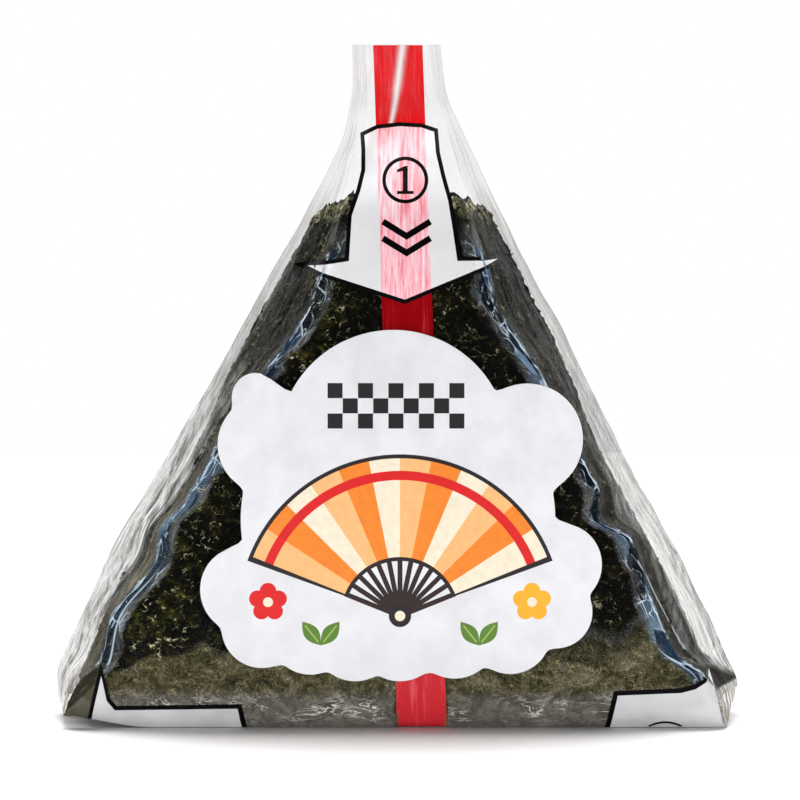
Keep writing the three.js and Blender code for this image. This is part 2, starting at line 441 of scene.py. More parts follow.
def film_look(face, x, z, c, share):
    """Fields for the film's material, by name."""
    side = np.where(c < 0, -1, 1)
    fold = from_fold(face, x, z, c, share)
    gable = smooth(77, 84, z)
    wall = smooth(0, 0.12, share) * (1 - smooth(72, 84, z))
    low_wall = (1 - smooth(30, 62, z)) * np.where(side < 0, 1.7, 1)
    paling = np.where(side < 0, 0.6, 1.2)

    # The sheet's overlap at the foot, ragged on the left, fading on the right, under the tape in the middle
    lap_edge = 12.0 + 2.6 * grain(x / 7, 0, 3, 3) - 3.4 * smooth(30, 45, -x) + 2.5 * smooth(18, 44, x)
    lap_blur = 0.3 + 3.2 * smooth(-5, 30, x)
    beside_tape = smooth(TAPE_WIDTH / 2 - 0.1, TAPE_WIDTH / 2 + 0.1, np.abs(x - tape_middle(z)))
    milky = (1 - smooth(-lap_blur, lap_blur, z - lap_edge)) * beside_tape
    milky *= 0.72 + 0.28 * (1 - smooth(3.5, 7, z))

    # Painted shade in the film's tucks at both bottom corners, with the olive of the nori seen through on
    # the left, and pale facets beside them
    tuck_foot = 6.0 - 0.3 * share
    tuck_top = 11.4 - 6.5 * share + 1.8 * share**2
    panel_side = -47.3 + 0.19 * z
    tuck_crease = z - 2.8 - 0.93 * (x + 50.8)
    right_tuck_shade = smooth(-0.2, 0.2, z - tuck_foot) * (1 - smooth(-1.2, 0.4, z - tuck_top))
    right_tuck_shade *= smooth(0.02, 0.08, share)
    left_tuck_shade = (0.72 + 0.13 * smooth(-0.1, 0.1, tuck_crease)) * smooth(-0.2, 0.2, panel_side - x)
    left_tuck_shade *= smooth(-0.5, 0, fold) * (1 - smooth(9, 11, z))
    right_facet = 1 - smooth(-0.3, 0.3, z - tuck_foot)
    left_facet = 0.8 * (1 - smooth(3, 10, z))
    facet = np.where(side > 0, right_facet, left_facet) * (share > 0)

    # Painted highlights along straight creases low on both sides
    low = (1 - smooth(22, 27, z)) * (face == FRONT)
    right_ridge_glint = bell(x, ridge_x(z), 0.13)
    left_ridge_glint = np.maximum(bell(fold, -0.3, 0.2), bell(fold, 1.1, 0.16)) * smooth(8, 10, z)
    left_ridge_glint = np.maximum(left_ridge_glint, 0.5 * bell(tuck_crease, 0, 0.16) * (left_tuck_shade > 0.4))
    glare = bell(x, glare_x(z), 0.15 + 0.5 * smooth(86, 100, z)) * smooth(84, 92, z) * (share == 0)
    return {
        "haze": (0.001 + wall * (0.01 + 0.16 * share**3 + low_wall * (0.05 + 0.36 * share**paling))
                 + (0.03 * gable + 0.08 * smooth(92, 96, z)) * (0.2 + 0.8 * beside_tape) + 0.5 * facet),
        "creased": (1 - smooth(71, 78, z)) * smooth(4, 8, z),
        "milky": milky * (share < 0.02) * (face == FRONT),
        "wall": wall,
        "thick": (smooth(0.2, 0.6, share) * (1 - 0.8 * np.maximum(gable, facet))
                  + 0.5 * smooth(0.95, 1, share) + 0.08 * gable),
        "shade": np.where(side > 0, right_tuck_shade, left_tuck_shade),
        "ridge_glint": low * np.where(side > 0, right_ridge_glint, left_ridge_glint),
        "glare": glare * (face == FRONT),
        # where painted highlights go on the crinkles at the foot
        "foot": bell(z, 3.0, 1.8) * (share == 0) * beside_tape,
    }


def add_looks(piece, face, x, z, c, share, under=None):
    """Lay the material's fields and maps on a sheet; under holds the base rows' across and depth places."""
    side = np.sign(c)
    fold = from_fold(face, x, z, c, share)
    across = x + side * share * (SIDE_LENGTH - bevel(face, side, z))
    looks = film_look(face, x, z, c, share)
    apart = 300 if face == BACK else 0  # so that the two faces' patterns don't mirror each other at the seam
    maps = {"spread": (across + apart, z), "fold_place": (fold + 70 * side + apart, z)}
    looks["from_fold"] = fold
    if under is not None:
        base_looks = {"haze": 0.08, "from_fold": 30.0}
        looks = {name: np.concatenate([np.full(under.shape, base_looks.get(name, 0.0)), values])
                 for name, values in looks.items()}
        maps = {name: (np.concatenate([np.broadcast_to(u[:1], under.shape), u]), np.concatenate([under, v]))
                for name, (u, v) in maps.items()}
    for name, values in looks.items():
        add_field(piece, name, values)
    for name, (u, v) in maps.items():
        add_map(piece, name, u, v)


film_front_columns = film_columns(210, 44)
film_front_rows = np.linspace(0, HEIGHT, 281)
film_back_columns = film_columns(100, 28)
film_back_rows = np.linspace(0, HEIGHT, 181)
FILM_IOR = 1.42
FILM_GLOSS = 0.12  # share of the mirror reflection that is kept


def film_front():
    places, x, z, c, share = film_sheet(FRONT, film_front_columns, film_front_rows)
    piece = mesh_piece("film_front", places.reshape(-1, 3), grid_faces(*c.shape))
    add_looks(piece, FRONT, x, z, c, share)
    return piece


def film_back():
    """The back face, with the base as its first rows."""
    places, x, z, c, share = film_sheet(BACK, film_back_columns, film_back_rows)
    front_edge = film_sheet(FRONT, film_back_columns, np.array([0.0, 0.1]))[0][0]
    steps = np.linspace(0, 1, 19)[:-1, None, None]
    base = mix(front_edge[None], places[:1], steps)
    ripple = 0.25 * grain(base[..., 0] / 7, base[..., 1] / 7, 2.5)
    base[..., 2] += np.maximum(0, ripple) * np.sin(np.pi * steps[..., 0])
    rows = np.concatenate([base, places])
    faces = [face[::-1] for face in grid_faces(*rows.shape[:2])]
    piece = mesh_piece("film_back", rows.reshape(-1, 3), faces)
    add_looks(piece, BACK, x, z, c, share, base[..., 1])
    return piece


def film_material():
    """Clear film: streaked walls, painted highlights and bluish painted reflections at the folds, painted
    shade at the bottom corners and a mottled overlap at the foot.
    """
    n = Nodes("clear_film")
    milky = n.field("milky")
    wall = n.field("wall")
    shade = n.field("shade")
    creased = n.times(n.field("creased"), n.minus(1.0, n.times(shade, 1.4), True))
    glare = n.field("glare")
    fold = n.field("from_fold")
    streaks = n.noise(n.place("fold_place", (1, 0.06, 1)), 2.6, 4, 0.6, 0.3)
    fine = n.noise(n.place("fold_place", (1, 0.12, 1)), 0.6, 3, 0.6)
    crumple = n.noise(n.place("spread", (1, 0.4, 1)), 2.2, 4, 0.62, 1.6)

    # Painted highlights: broken bright lines along the fold; and a painted reflection: bluish facets about
    # it
    facet_place = n.place("fold_place", (1, 0.42, 1))
    facets = n.add("SeparateXYZ", Vector=n.cells(facet_place, 2.4, "F1", "Color"))
    rims = n.ramp(n.cells(facet_place, 2.4, "DISTANCE_TO_EDGE"), (0.0, 1.0), (0.045, 0.0))
    broken = n.ramp(n.noise(n.place("fold_place", (1, 0.5, 1)), 2.6, 3, 0.6), (0.44, 0.0), (0.54, 1.0))
    waver = n.minus(n.noise(n.place("fold_place", (0.2, 1, 1)), 5, 3, 0.6), 0.5)
    off = n.math("ABSOLUTE", n.plus(fold, n.times(waver, 1.6)))
    line = n.ramp(n.times(off, 0.5), (0.04, 1.0), (0.09, 0.0))
    reach = n.plus(n.times(fold, 0.1), 0.5)
    reach = n.plus(reach, n.times(waver, 0.5))
    near = n.times(n.ramp(reach, (0.36, 0.0), (0.44, 1.0), (0.62, 1.0), (0.78, 0.0)), creased)
    loops = n.noise(n.place("fold_place", (1, 0.4, 1)), 1.5, 1, 0.5, 0.5)
    loop = n.lines(loops, 0.006, 0.02)
    strokes = n.times(n.larger(rims, loop), n.times(broken, near))
    line = n.times(n.times(line, broken), creased)
    # Painted highlights on the film's crinkles at the foot: thin pale lines in patches
    ripple = n.lines(n.noise(n.place("spread", (0.3, 1, 1)), 1.3, 3, 0.6, 0.8), 0.008, 0.035)
    ripple_glint_here = n.ramp(n.noise(n.place("spread"), 6, 2, 0.5), (0.46, 0.0), (0.58, 1.0))
    ripple = n.times(n.times(ripple, ripple_glint_here), n.field("foot"))
    glint = n.times(n.larger(n.larger(strokes, line), n.field("ridge_glint")), 0.85)
    facet_share = n.ramp(facets.outputs[0], (0.42, 0.0), (0.9, 0.65))
    sheen = n.times(n.larger(facet_share, 0.22), near)
    facet_sheen_tone = n.ramp(facets.outputs[1], (0.3, (0.008, 0.022, 0.045)), (0.7, (0.05, 0.12, 0.21)),
                        (1.0, (0.3, 0.48, 0.68)))

    streak_light = n.ramp(streaks, (0.38, 0.0), (0.62, 1.0))
    hazy = n.times(n.field("haze"), n.plus(n.times(streak_light, 1.7), 0.25))
    hazy = n.times(hazy, n.ramp(crumple, (0.4, 0.35), (0.6, 1.0)))
    hazy = n.times(hazy, 1.4)
    streak_tone = n.ramp(fine, (0.38, (0.36, 0.35, 0.32)), (0.6, (0.8, 0.8, 0.8)))
    brown = n.minus(wall, n.times(n.field("thick"), 3.0), clamp=True)
    streak_tone = n.blend(streak_tone, (0.2, 0.18, 0.13, 1), brown)
    clouds = n.noise(n.place("fold_place", (1, 0.09, 1)), 1.5, 4, 0.6, 0.5)
    tint = n.blend((0.975, 0.975, 0.975, 1), (0.66, 0.655, 0.64, 1),
                   n.times(n.ramp(clouds, (0.38, 0.9), (0.62, 0.12)), n.field("thick")))

    # The lap is a mottled veil, olive above and grey at the foot, with pale fibres in it
    fibre = n.lines(n.noise(n.place("spread"), 1.6, 3, 0.65, 1.2), 0.0, 0.025)
    thick = n.noise(n.place("spread", (0.8, 1, 1)), 3.2, 8, 0.76, 0.6)
    lap = n.plus(n.ramp(thick, (0.38, 0.45), (0.62, 0.85)), n.times(fibre, 0.25))
    lap = n.times(lap, milky, clamp=True)
    lap_mottle = n.ramp(thick, (0.36, (0.026, 0.023, 0.008)), (0.5, (0.095, 0.083, 0.042)),
                        (0.64, (0.25, 0.22, 0.15)))
    lap_mottle = n.blend(lap_mottle, (0.36, 0.34, 0.15, 1), n.times(fibre, 0.7))
    lap_foot = n.ramp(thick, (0.36, (0.12, 0.11, 0.09)), (0.64, (0.2, 0.185, 0.16)))
    lap_tone = n.blend(lap_mottle, lap_foot, n.ramp(milky, (0.74, 0.0), (0.98, 1.0)))
    veil = n.plus(hazy, n.plus(lap, sheen), clamp=True)
    for cover in (n.times(shade, 1.33, clamp=True), glint, ripple, n.times(glare, 0.92)):
        veil = n.larger(veil, cover)
    colour = n.blend(streak_tone, lap_tone, n.times(milky, 4.0, clamp=True))
    # The colours of the painted reflection on the bluish facets and of the painted highlights
    colour = n.blend(colour, facet_sheen_tone, near)
    colour = n.blend(colour, (0.72, 0.84, 0.95, 1), glint)
    colour = n.blend(colour, (0.8, 0.78, 0.74, 1), ripple)
    # Painted shade in the tucks at the bottom corners: olive to near black, mottled
    mottled = n.plus(shade, n.times(n.minus(thick, 0.5), 0.4))
    tuck_shade_tone = n.ramp(mottled, (0.66, (0.08, 0.078, 0.05)), (0.8, (0.035, 0.033, 0.019)),
                       (0.9, (0.014, 0.013, 0.008)), (1.0, (0.008, 0.007, 0.006)))
    colour = n.blend(colour, tuck_shade_tone, n.times(shade, 2.0, clamp=True))
    colour = n.blend(colour, (0.97, 0.97, 0.97, 1), glare)
    height = n.plus(n.times(crumple, 0.6), n.times(fine, 0.4))
    rough = n.larger(wall, milky)
    normal = n.bump(height, 0.16, n.times(rough, 0.5))
    clear = n.add("BsdfTransparent", Color=tint)
    dull = n.add("BsdfDiffuse", Color=colour, Normal=normal)
    gloss = n.add("BsdfGlossy", Color=(1, 1, 1, 1), Roughness=0.16, Normal=normal)
    # The same gloss from inside and outside: the node turns its IOR over on the inner side
    inner = n.add("NewGeometry").outputs["Backfacing"]
    ior = n.minus(FILM_IOR, n.times(inner, FILM_IOR - 1 / FILM_IOR))
    fresnel = n.add("Fresnel", IOR=ior, Normal=normal).outputs[0]
    outer = n.minus(1.0, n.times(inner, 0.7))
    shine = n.times(fresnel, n.times(outer, FILM_GLOSS))
    body = n.mix_shaders(clear.outputs[0], dull.outputs[0], veil)
    return n.finish(n.mix_shaders(body, gloss.outputs[0], shine))


# The nori

NORI_GAP = 0.45  # between the film and the nori
NORI_FOOT = 0.5
nori_inset = curve_through((0, 3.4), (40, 3.2), (58, 1.6), (HEIGHT, 1.1))


def nori_top(across):
    """Height of the nori's ragged upper edge, for a place across from -1 to 1."""
    ragged = 1.1 * grain(across * 9, 0, 1.7, 3) + 1.3 * np.maximum(0, grain(across * 40, 4.6, 0.3, 2))
    return 83.5 - 5.6 * np.abs(across) ** 1.6 + ragged


def nori_ring(front_count, side_count, back_count):
    """Places round the nori, as (direction across, depth share) pairs from -1 to 1."""
    flat = 0.86
    turn = np.linspace(0, np.pi, side_count + 1)
    side_x = flat + (1 - flat) * np.sin(turn) ** 0.8
    side_y = np.sign(np.cos(turn)) * np.abs(np.cos(turn)) ** 0.7
    front = np.linspace(-flat, flat, front_count + 1)[1:-1]
    back = np.linspace(flat, -flat, back_count + 1)[1:-1]
    x = np.concatenate([front, side_x, back, -side_x[::-1]])
    y = np.concatenate([np.full(front.shape, -1.0), -side_y, np.full(back.shape, 1.0), side_y])
    return x, y


def nori_body():
    """One closed sheet of nori round the rice, with a ragged top and a crumpled relief."""
    across, depth_share = nori_ring(236, 40, 90)
    rows = 216
    v = np.linspace(0, 1, rows)[:, None]
    z = mix(NORI_FOOT, nori_top(across)[None], v)
    x = lean(z) + across * (half_width(z) - nori_inset(z))
    free_depth = np.where(depth_share < 0, skin_depth(FRONT, x, z), skin_depth(BACK, x, z)) - NORI_GAP
    own_depth = (face_depth(x, z) - NORI_GAP) * np.abs(depth_share)
    y = np.sign(depth_share) * np.minimum(own_depth, np.maximum(free_depth, 0))
    lift = base_height(x) * level(z)
    foot = mix(0.93, 1, smooth(0, 3, z))
    places = np.stack([x * foot, y * mix(0.9, 1, smooth(0, 2.5, z)), z + lift], -1)
    relief = nori_relief(places[..., 0], places[..., 1], places[..., 2])
    out = unit(np.stack([across * 0.35, depth_share], -1))
    places[..., :2] -= out[None] * relief[..., None]
    caps = nori_caps(places)
    everything = np.concatenate(caps["bottom"] + [places] + caps["top"])
    faces = grid_faces(*everything.shape[:2], closed=True)
    piece = mesh_piece("nori", everything.reshape(-1, 3), faces)
    rim = np.broadcast_to(smooth(0.955, 0.99, v), z.shape)
    ends = [np.zeros((len(caps["bottom"]), len(across))), rim, np.zeros((len(caps["top"]), len(across)))]
    add_field(piece, "rim", np.concatenate(ends))
    return piece


def nori_relief(x, y, z):
    """Depth of the nori's crumples below its skin, in millimetres."""
    coarse = ridges(x / 5.5, y / 5.5 + 0.4, z / 5.5)
    medium = ridges(x / 2.1, y / 2.1, z / 1.5 + 9)
    return 0.3 * (1 - coarse) + 0.4 * (1 - medium)


def nori_caps(places):
    """Rings that close the body: a sunken top inside the ragged edge, and a flat foot."""
    middle = places[-1].copy()
    middle[:, 1] = 0
    top = [places[-1:] * [1, 0.975, 1]]
    for share, sink in ((0.03, 0.8), (0.08, 1.6), (0.35, 1.0), (0.7, 0.5), (1.0, 0.3)):
        ring = mix(places[-1], middle, share)
        ring[:, 0] = mix(ring[:, 0], 0, 0.1 * share)
        ring[:, 2] -= sink
        top.append(ring[None])
    foot = places[0].copy()
    foot[:, 1] = 0
    bottom = [mix(places[0], foot, share)[None] for share in (1.0, 0.6, 0.25, 0.05)]
    return {"top": top, "bottom": bottom}


def nori_material():
    """Toasted nori: green-black, with olive patches, pale flecks painted as highlights and a papery crumple.
    """
    n = Nodes("toasted_nori")
    place = n.place()
    clumps = n.noise(place, 8, 3, 0.6, 0.6)
    leaves = n.noise(n.place(None, (1, 1, 1.3)), 3.2, 6, 0.68, 0.7)
    crumple = n.noise(place, 0.9, 4, 0.65, 0.6)
    black = (0.0012, 0.0012, 0.0006)
    green = n.ramp(leaves, (0.43, black), (0.51, (0.007, 0.008, 0.001)), (0.6, (0.045, 0.046, 0.005)),
                   (0.69, (0.15, 0.145, 0.015)))
    umber = n.ramp(leaves, (0.43, black), (0.51, (0.01, 0.007, 0.002)), (0.6, (0.055, 0.038, 0.01)),
                   (0.69, (0.17, 0.125, 0.04)))
    sheet = n.blend(green, umber, n.ramp(n.noise(place, 5, 2, 0.5), (0.5, 0.0), (0.64, 0.9)))
    gaps = n.ramp(crumple, (0.4, 0.0), (0.54, 1.0))
    rich = n.ramp(clumps, (0.4, 0.1), (0.62, 1.0))
    across = n.add("SeparateXYZ", Vector=place).outputs[0]
    darker = n.ramp(n.plus(n.times(across, 0.01), 0.5), (0.3, 1.0), (0.7, 0.3))
    rich = n.larger(n.times(rich, darker), n.field("rim"))
    colour = n.blend((*black, 1), sheet, n.times(gaps, rich))

    # Painted highlights where torn edges catch the light: short strokes of two sizes
    strokes = 0.0
    for size, width, depth in ((2.4, 0.014, 1.0), (1.2, 0.024, 1.5)):
        edges = n.noise(n.place(None, (1, 1, depth)), size, 2, 0.5, 0.4)
        edge = n.lines(edges, width * 0.3, width)
        here = n.ramp(n.noise(place, size * 0.9, 2, 0.6), (0.53, 0.0), (0.6, 1.0))
        strokes = n.larger(strokes, n.times(edge, here))
    tone = n.ramp(n.noise(place, 1.5, 2, 0.5), (0.42, (0.07, 0.075, 0.009)), (0.53, (0.26, 0.25, 0.06)),
                  (0.62, (0.95, 0.9, 0.6)))
    # and painted highlights along the ragged top edge
    strokes = n.larger(strokes, n.times(n.field("rim"), n.ramp(crumple, (0.45, 0.0), (0.6, 0.7))))
    lit = n.times(strokes, n.plus(n.times(rich, 0.85), 0.15))
    colour = n.blend(colour, tone, n.times(lit, 0.9))
    height = n.plus(n.times(leaves, 0.8), n.times(crumple, 0.3))
    normal = n.bump(height, 0.7, 0.7)
    return n.finish(n.painted(colour, 0.5, n.plus(n.times(lit, 0.6), 0.03), normal))


# The tear tape

def tape_piece(front_skin, back_skin):
    """One strip down the front, under the base and up the back, just inside the film."""
    half = TAPE_WIDTH / 2
    out = -0.1
    offsets = np.linspace(-half, half, 15)
    rows = np.linspace(0.3, HEIGHT - 0.1, 170)
    z, across = np.meshgrid(rows, offsets, indexing="ij")
    flat = np.stack([(tape_middle(z) + across).ravel(), z.ravel()], -1)
    front = front_skin.upright(flat, out).reshape(*z.shape, 3)
    back = back_skin.upright(flat, out).reshape(*z.shape, 3)
    y, across = np.meshgrid(np.linspace(-14.2, 14.2, 24), offsets, indexing="ij")
    flat = np.stack([(tape_middle(0) + across).ravel(), y.ravel()], -1)
    base = back_skin.under(flat, out).reshape(*y.shape, 3)
    strip = np.concatenate([front[::-1], base, back])
    piece = mesh_piece("tear_tape", strip.reshape(-1, 3), grid_faces(*strip.shape[:2]))
    across = np.broadcast_to(offsets, strip.shape[:2])
    steps = np.linalg.norm(np.diff(strip[:, 7], axis=0), axis=-1)
    length = np.broadcast_to(np.concatenate([[0], np.cumsum(steps)])[:, None], strip.shape[:2])
    add_map(piece, "spread", across, length)
    height = strip[..., 2]
    in_front = strip[..., 1] < -10
    add_field(piece, "lap", (1 - smooth(11, 12, height)) * in_front + 0.6 * smooth(90, 94, height))
    return piece


def tape_material():
    """See-through red film, streaked along its length, paler over the film's overlap and on the tab."""
    n = Nodes("red_tape")
    lap = n.field("lap")
    streaks = n.noise(n.place("spread", (1, 0.05, 1)), 0.45, 4, 0.65)
    broad = n.noise(n.place("spread", (1, 0.12, 1)), 1.8, 3, 0.5)
    pale = n.ramp(n.times(streaks, n.plus(broad, 0.5)), (0.52, 0.0), (0.72, 1.0))
    red = n.blend((0.95, 0.003, 0.01, 1), (0.95, 0.25, 0.29, 1),
                  n.times(pale, n.plus(n.times(lap, 0.6), 0.15)))
    red = n.blend(red, (0.9, 0.06, 0.08, 1), n.times(lap, 0.6))
    normal = n.bump(streaks, 0.08, 0.3)
    clear = n.add("BsdfTransparent", Color=(0.95, 0.015, 0.025, 1))
    solid = n.painted(red, 0.3, 0.04, normal)
    cover = n.plus(n.times(pale, 0.15), n.plus(n.times(lap, 0.34), 0.29))
    return n.finish(n.mix_shaders(clear.outputs[0], solid, cover))


# Flat pieces: an outline in the (x, z) plane, filled with inlaid shapes and laid on a surface

def disc(x, z, radius, steps=48):
    return directions(np.arange(steps) * 2 * np.pi / steps) * radius + [x, z]


def ring_arc(x, z, radius, width, start, end, steps=24):
    """A band along part of a circle, from start to end in degrees."""
    rim = directions(np.radians(np.linspace(start, end, steps)))
    outer = rim * (radius + width / 2)
    inner = rim * (radius - width / 2)
    return np.concatenate([outer, inner[::-1]]) + [x, z]


def band(points, width):
    """A line of even width through points, with square ends."""
    points = np.asarray(points, float)
    steps = unit(np.diff(points, axis=0))
    normals = np.stack([-steps[:, 1], steps[:, 0]], -1)
    turns = unit(np.concatenate([normals[:1], normals[:-1] + normals[1:], normals[-1:]]))
    reach = np.ones(len(points))
    reach[1:-1] = 1 / np.maximum(0.35, np.sum(turns[1:-1] * normals[:-1], axis=1))
    offset = turns * reach[:, None] * width / 2
    return np.concatenate([points + offset, (points - offset)[::-1]])


def grown(points, distance):
    """A closed outline moved outwards by a distance, with mitred corners."""
    points = np.asarray(points, float)
    before = points - np.roll(points, 1, axis=0)
    after = np.roll(points, -1, axis=0) - points
    turn = np.sum(points[:, 0] * np.roll(points[:, 1], -1) - points[:, 1] * np.roll(points[:, 0], -1))
    normals = []
    for step in (unit(before), unit(after)):
        normals.append(np.stack([step[:, 1], -step[:, 0]], -1) * np.sign(turn))
    corner = unit(normals[0] + normals[1])
    reach = 1 / np.maximum(0.22, np.sum(corner * normals[0], axis=1, keepdims=True))
    return points + corner * reach * distance


def inside(points, outline):
    """True for each point that lies in a closed outline."""
    x, z = points[:, 0], points[:, 1]
    result = np.zeros(len(points), bool)
    for (x0, z0), (x1, z1) in zip(outline, np.roll(outline, -1, axis=0)):
        crosses = (z0 > z) != (z1 > z)
        if z1 != z0:
            result ^= crosses & (x < x0 + (z - z0) * (x1 - x0) / (z1 - z0))
    return result


def refined(outline, step):
    """A closed outline with points added so that none is further than step from the next."""
    result = []
    for start, end in zip(outline, np.roll(outline, -1, axis=0)):
        count = max(1, math.ceil(np.linalg.norm(end - start) / step))
        result += [mix(start, end, i / count) for i in range(count)]
    return np.array(result)


def inlay(outline, shapes, step):
    """Triangles that fill an outline, cut along the shapes, and the paint of each triangle.

    shapes are (outline, paint) pairs. The last one that holds a triangle paints it; the ground has paint 0.
    """
    outlines = [refined(np.asarray(o, float), step) for o in [outline, *(shape for shape, _ in shapes)]]
    corner, far = outlines[0].min(0), outlines[0].max(0)
    grid_x, grid_z = np.meshgrid(np.arange(corner[0], far[0], step), np.arange(corner[1], far[1], step))
    jog = (np.arange(grid_x.shape[0])[:, None] % 2) * step / 2
    inner = np.stack([(grid_x + jog).ravel(), grid_z.ravel()], -1)
    inner = inner[inside(inner, outlines[0])]
    points = [Vector(p) for o in outlines for p in o] + [Vector(p) for p in inner]
    edges = []
    start = 0
    for o in outlines:
        edges += [(start + i, start + (i + 1) % len(o)) for i in range(len(o))]
        start += len(o)
    made, _, faces, *_ = delaunay_2d_cdt(points, edges, [], 0, 1e-5)
    flat = np.array([tuple(p) for p in made])
    faces = np.array([f for f in faces if len(f) == 3])
    middles = flat[faces].mean(1)
    kept = inside(middles, outlines[0])
    faces, middles = faces[kept], middles[kept]
    paints = np.zeros(len(faces), int)
    for shape, (_, number) in zip(outlines[1:], shapes):
        paints[inside(middles, shape)] = number
    return flat, faces, paints


def laid_piece(name, flat, faces, paints, lay):
    """A flat piece's triangles, laid on a surface by lay, which turns (x, z) into places."""
    used, index = np.unique(faces, return_inverse=True)
    piece = mesh_piece(name, lay(flat[used]), index.reshape(faces.shape).tolist())
    piece.data.polygons.foreach_set("material_index", paints.astype(np.int32))
    return piece


class Skin:
    """The surface of one sheet of film, for laying things on it."""

    def __init__(self, piece, face):
        corners = [v.co / MM for v in piece.data.vertices]
        self.tree = BVHTree.FromPolygons(corners, [tuple(p.vertices) for p in piece.data.polygons])
        self.face = face

    def upright(self, flat, out):
        """Places that stand out of the face at each (x, z)."""
        places = []
        for x, z in flat:
            place, *_ = self.tree.ray_cast(Vector((x, self.face * 60, z)), Vector((0, -self.face, 0)))
            if place is None:
                place, *_ = self.tree.find_nearest(Vector((x, self.face * HALF_DEPTH, z)))
            places.append((place.x, place.y + self.face * out, max(place.z, 0.05)))
        return np.array(places)

    def under(self, flat, out):
        """Places that stand out of the base at each (x, y)."""
        places = []
        for x, y in flat:
            place, *_ = self.tree.ray_cast(Vector((x, y, -20)), Vector((0, 0, 1)))
            places.append((place.x, place.y, place.z - out))
        return np.array(places)


# The print on the film

def numeral_one(x, z, size):
    """A plain figure 1 with a flag and a foot, as outlines."""
    stem = [(-0.09, -0.5), (-0.09, 0.32), (-0.3, 0.27), (-0.3, 0.37), (0.0, 0.5), (0.09, 0.5), (0.09, -0.5)]
    foot = [(-0.3, -0.5), (-0.3, -0.39), (0.3, -0.39), (0.3, -0.5)]
    return [np.array(part) * size + [x, z] for part in (stem, foot)]


WHITE = 0
BLACK = 1
PRINT_STEP = 0.6  # size of the print's triangles
PRINT_OUT = 0.1  # from the film to the print


def arrow_shapes():
    """The arrow that shows where to pull, with a circled number and chevrons."""
    outline = np.array([
        (-6.1, 90.5), (-3.6, 91.7), (0, 92.1), (3.4, 91.9), (5.8, 91.1), (6.1, 87.5), (6.9, 84.0),
        (7.9, 80.4), (8.6, 76.0), (9.2, 71.9), (17.7, 71.9), (0.75, 64.8), (-16.8, 70.5), (-8.3, 71.8),
        (-8.1, 75.0), (-7.9, 78.2), (-6.6, 82.0), (-5.9, 84.9), (-5.9, 88.0),
    ])
    circle_middle = (0.8, 83.4)
    shapes = [(grown(outline, -0.62), WHITE)]
    shapes += [(disc(*circle_middle, 3.5), BLACK), (disc(*circle_middle, 2.95), WHITE)]
    shapes += [(part, BLACK) for part in numeral_one(*circle_middle, 4.2)]
    for drop in (0, 2.5):
        chevron = [(-2.6, 77.2 - drop), (1.0, 75.0 - drop), (4.6, 77.2 - drop)]
        shapes.append((band(chevron, 0.95), BLACK))
    return outline, shapes


def panel(upper, start, end):
    """A closed outline from its upper points, from left to right, and its foot along the base's curl."""
    foot = [(x, base_height(x) + 0.12) for x in np.linspace(end, start, 30)]
    return np.array(upper + foot)


def left_panel_shapes():
    outline = panel([(-45.5, 10.2), (-44.0, 4.6), (-43.0, 3.6), (-24.1, 3.9)], -47.6, -23.3)
    white = panel([(-45.4, 8.2), (-44.6, 4.4), (-43.4, 2.9), (-24.7, 3.2)], -47.0, -24.1)
    return outline, [(white, WHITE)]


def right_panel_shapes():
    outline = panel([(32.5, 5.9), (42.6, 6.3), (44.6, 6.8), (46.0, 7.6), (47.2, 9.2)], 31.2, 49.3)
    white = panel([(33.1, 5.2), (42.8, 5.6), (45.0, 6.2), (46.5, 7.2), (47.4, 8.8)], 32.0, 49.3)
    mark = ring_arc(40.4, -3.6, 4.6, 0.35, 36, 144)
    return outline, [(white, WHITE), (mark[mark[:, 1] > 0.13], BLACK)]


def panel_material():
    """Thin white ink over the dark nori: a soft grey."""
    n = Nodes("panel_print")
    tone = n.ramp(n.noise(n.place(), 6, 3, 0.5), (0.35, (0.475, 0.475, 0.485)), (0.65, (0.56, 0.56, 0.57)))
    return n.finish(n.painted(tone, 0.35))


def print_piece(name, shapes, skin):
    """A printed shape with a black outline: all that no inlaid shape holds is black."""
    outline, inlaid = shapes
    flat, faces, paints = inlay(outline, inlaid, PRINT_STEP)
    held = np.zeros(len(faces), bool)
    middles = flat[faces].mean(1)
    for shape, _ in inlaid:
        held |= inside(middles, np.asarray(shape))
    paints = np.where(held, paints, BLACK)
    return laid_piece(name, flat, faces, paints, lambda points: skin.upright(points, PRINT_OUT))


def print_white_material():
    """White ink on the film, through which the red tape shows as a streaked pink band."""
    n = Nodes("white_print")
    place = n.place()
    split = n.add("SeparateXYZ", Vector=place)
    x, z = split.outputs[0], split.outputs[2]
    middle = n.minus(TAPE_FOOT_X, n.times(z, TAPE_SLANT))
    beside = n.math("ABSOLUTE", n.minus(x, middle))
    on_tape = n.ramp(n.times(beside, 1 / TAPE_WIDTH), (0.485, 1.0), (0.5, 0.0))
    streaks = n.noise(n.place(None, (1, 0, 0.07)), 0.42, 5, 0.7)
    broad = n.noise(n.place(None, (1, 0, 0.2)), 2.2, 2, 0.5)
    pink = n.ramp(n.plus(n.times(streaks, 0.8), n.times(broad, 0.35)),
                  (0.46, (0.86, 0.19, 0.24)), (0.56, (0.96, 0.48, 0.54)), (0.72, (1.0, 0.88, 0.9)))
    shade = n.ramp(n.noise(place, 7, 3, 0.5), (0.35, (0.74, 0.73, 0.74)), (0.62, (0.80, 0.79, 0.80)))
    colour = n.blend(shade, pink, on_tape)
    return n.finish(n.painted(colour, 0.32))


def print_black_material():
    n = Nodes("black_print")
    speckle = n.noise(n.place(), 1.2, 3, 0.6)
    tone = n.ramp(speckle, (0.3, (0.001, 0.0008, 0.001)), (0.7, (0.003, 0.002, 0.0025)))
    return n.finish(n.painted(tone, 0.4, 0.04))


# The label

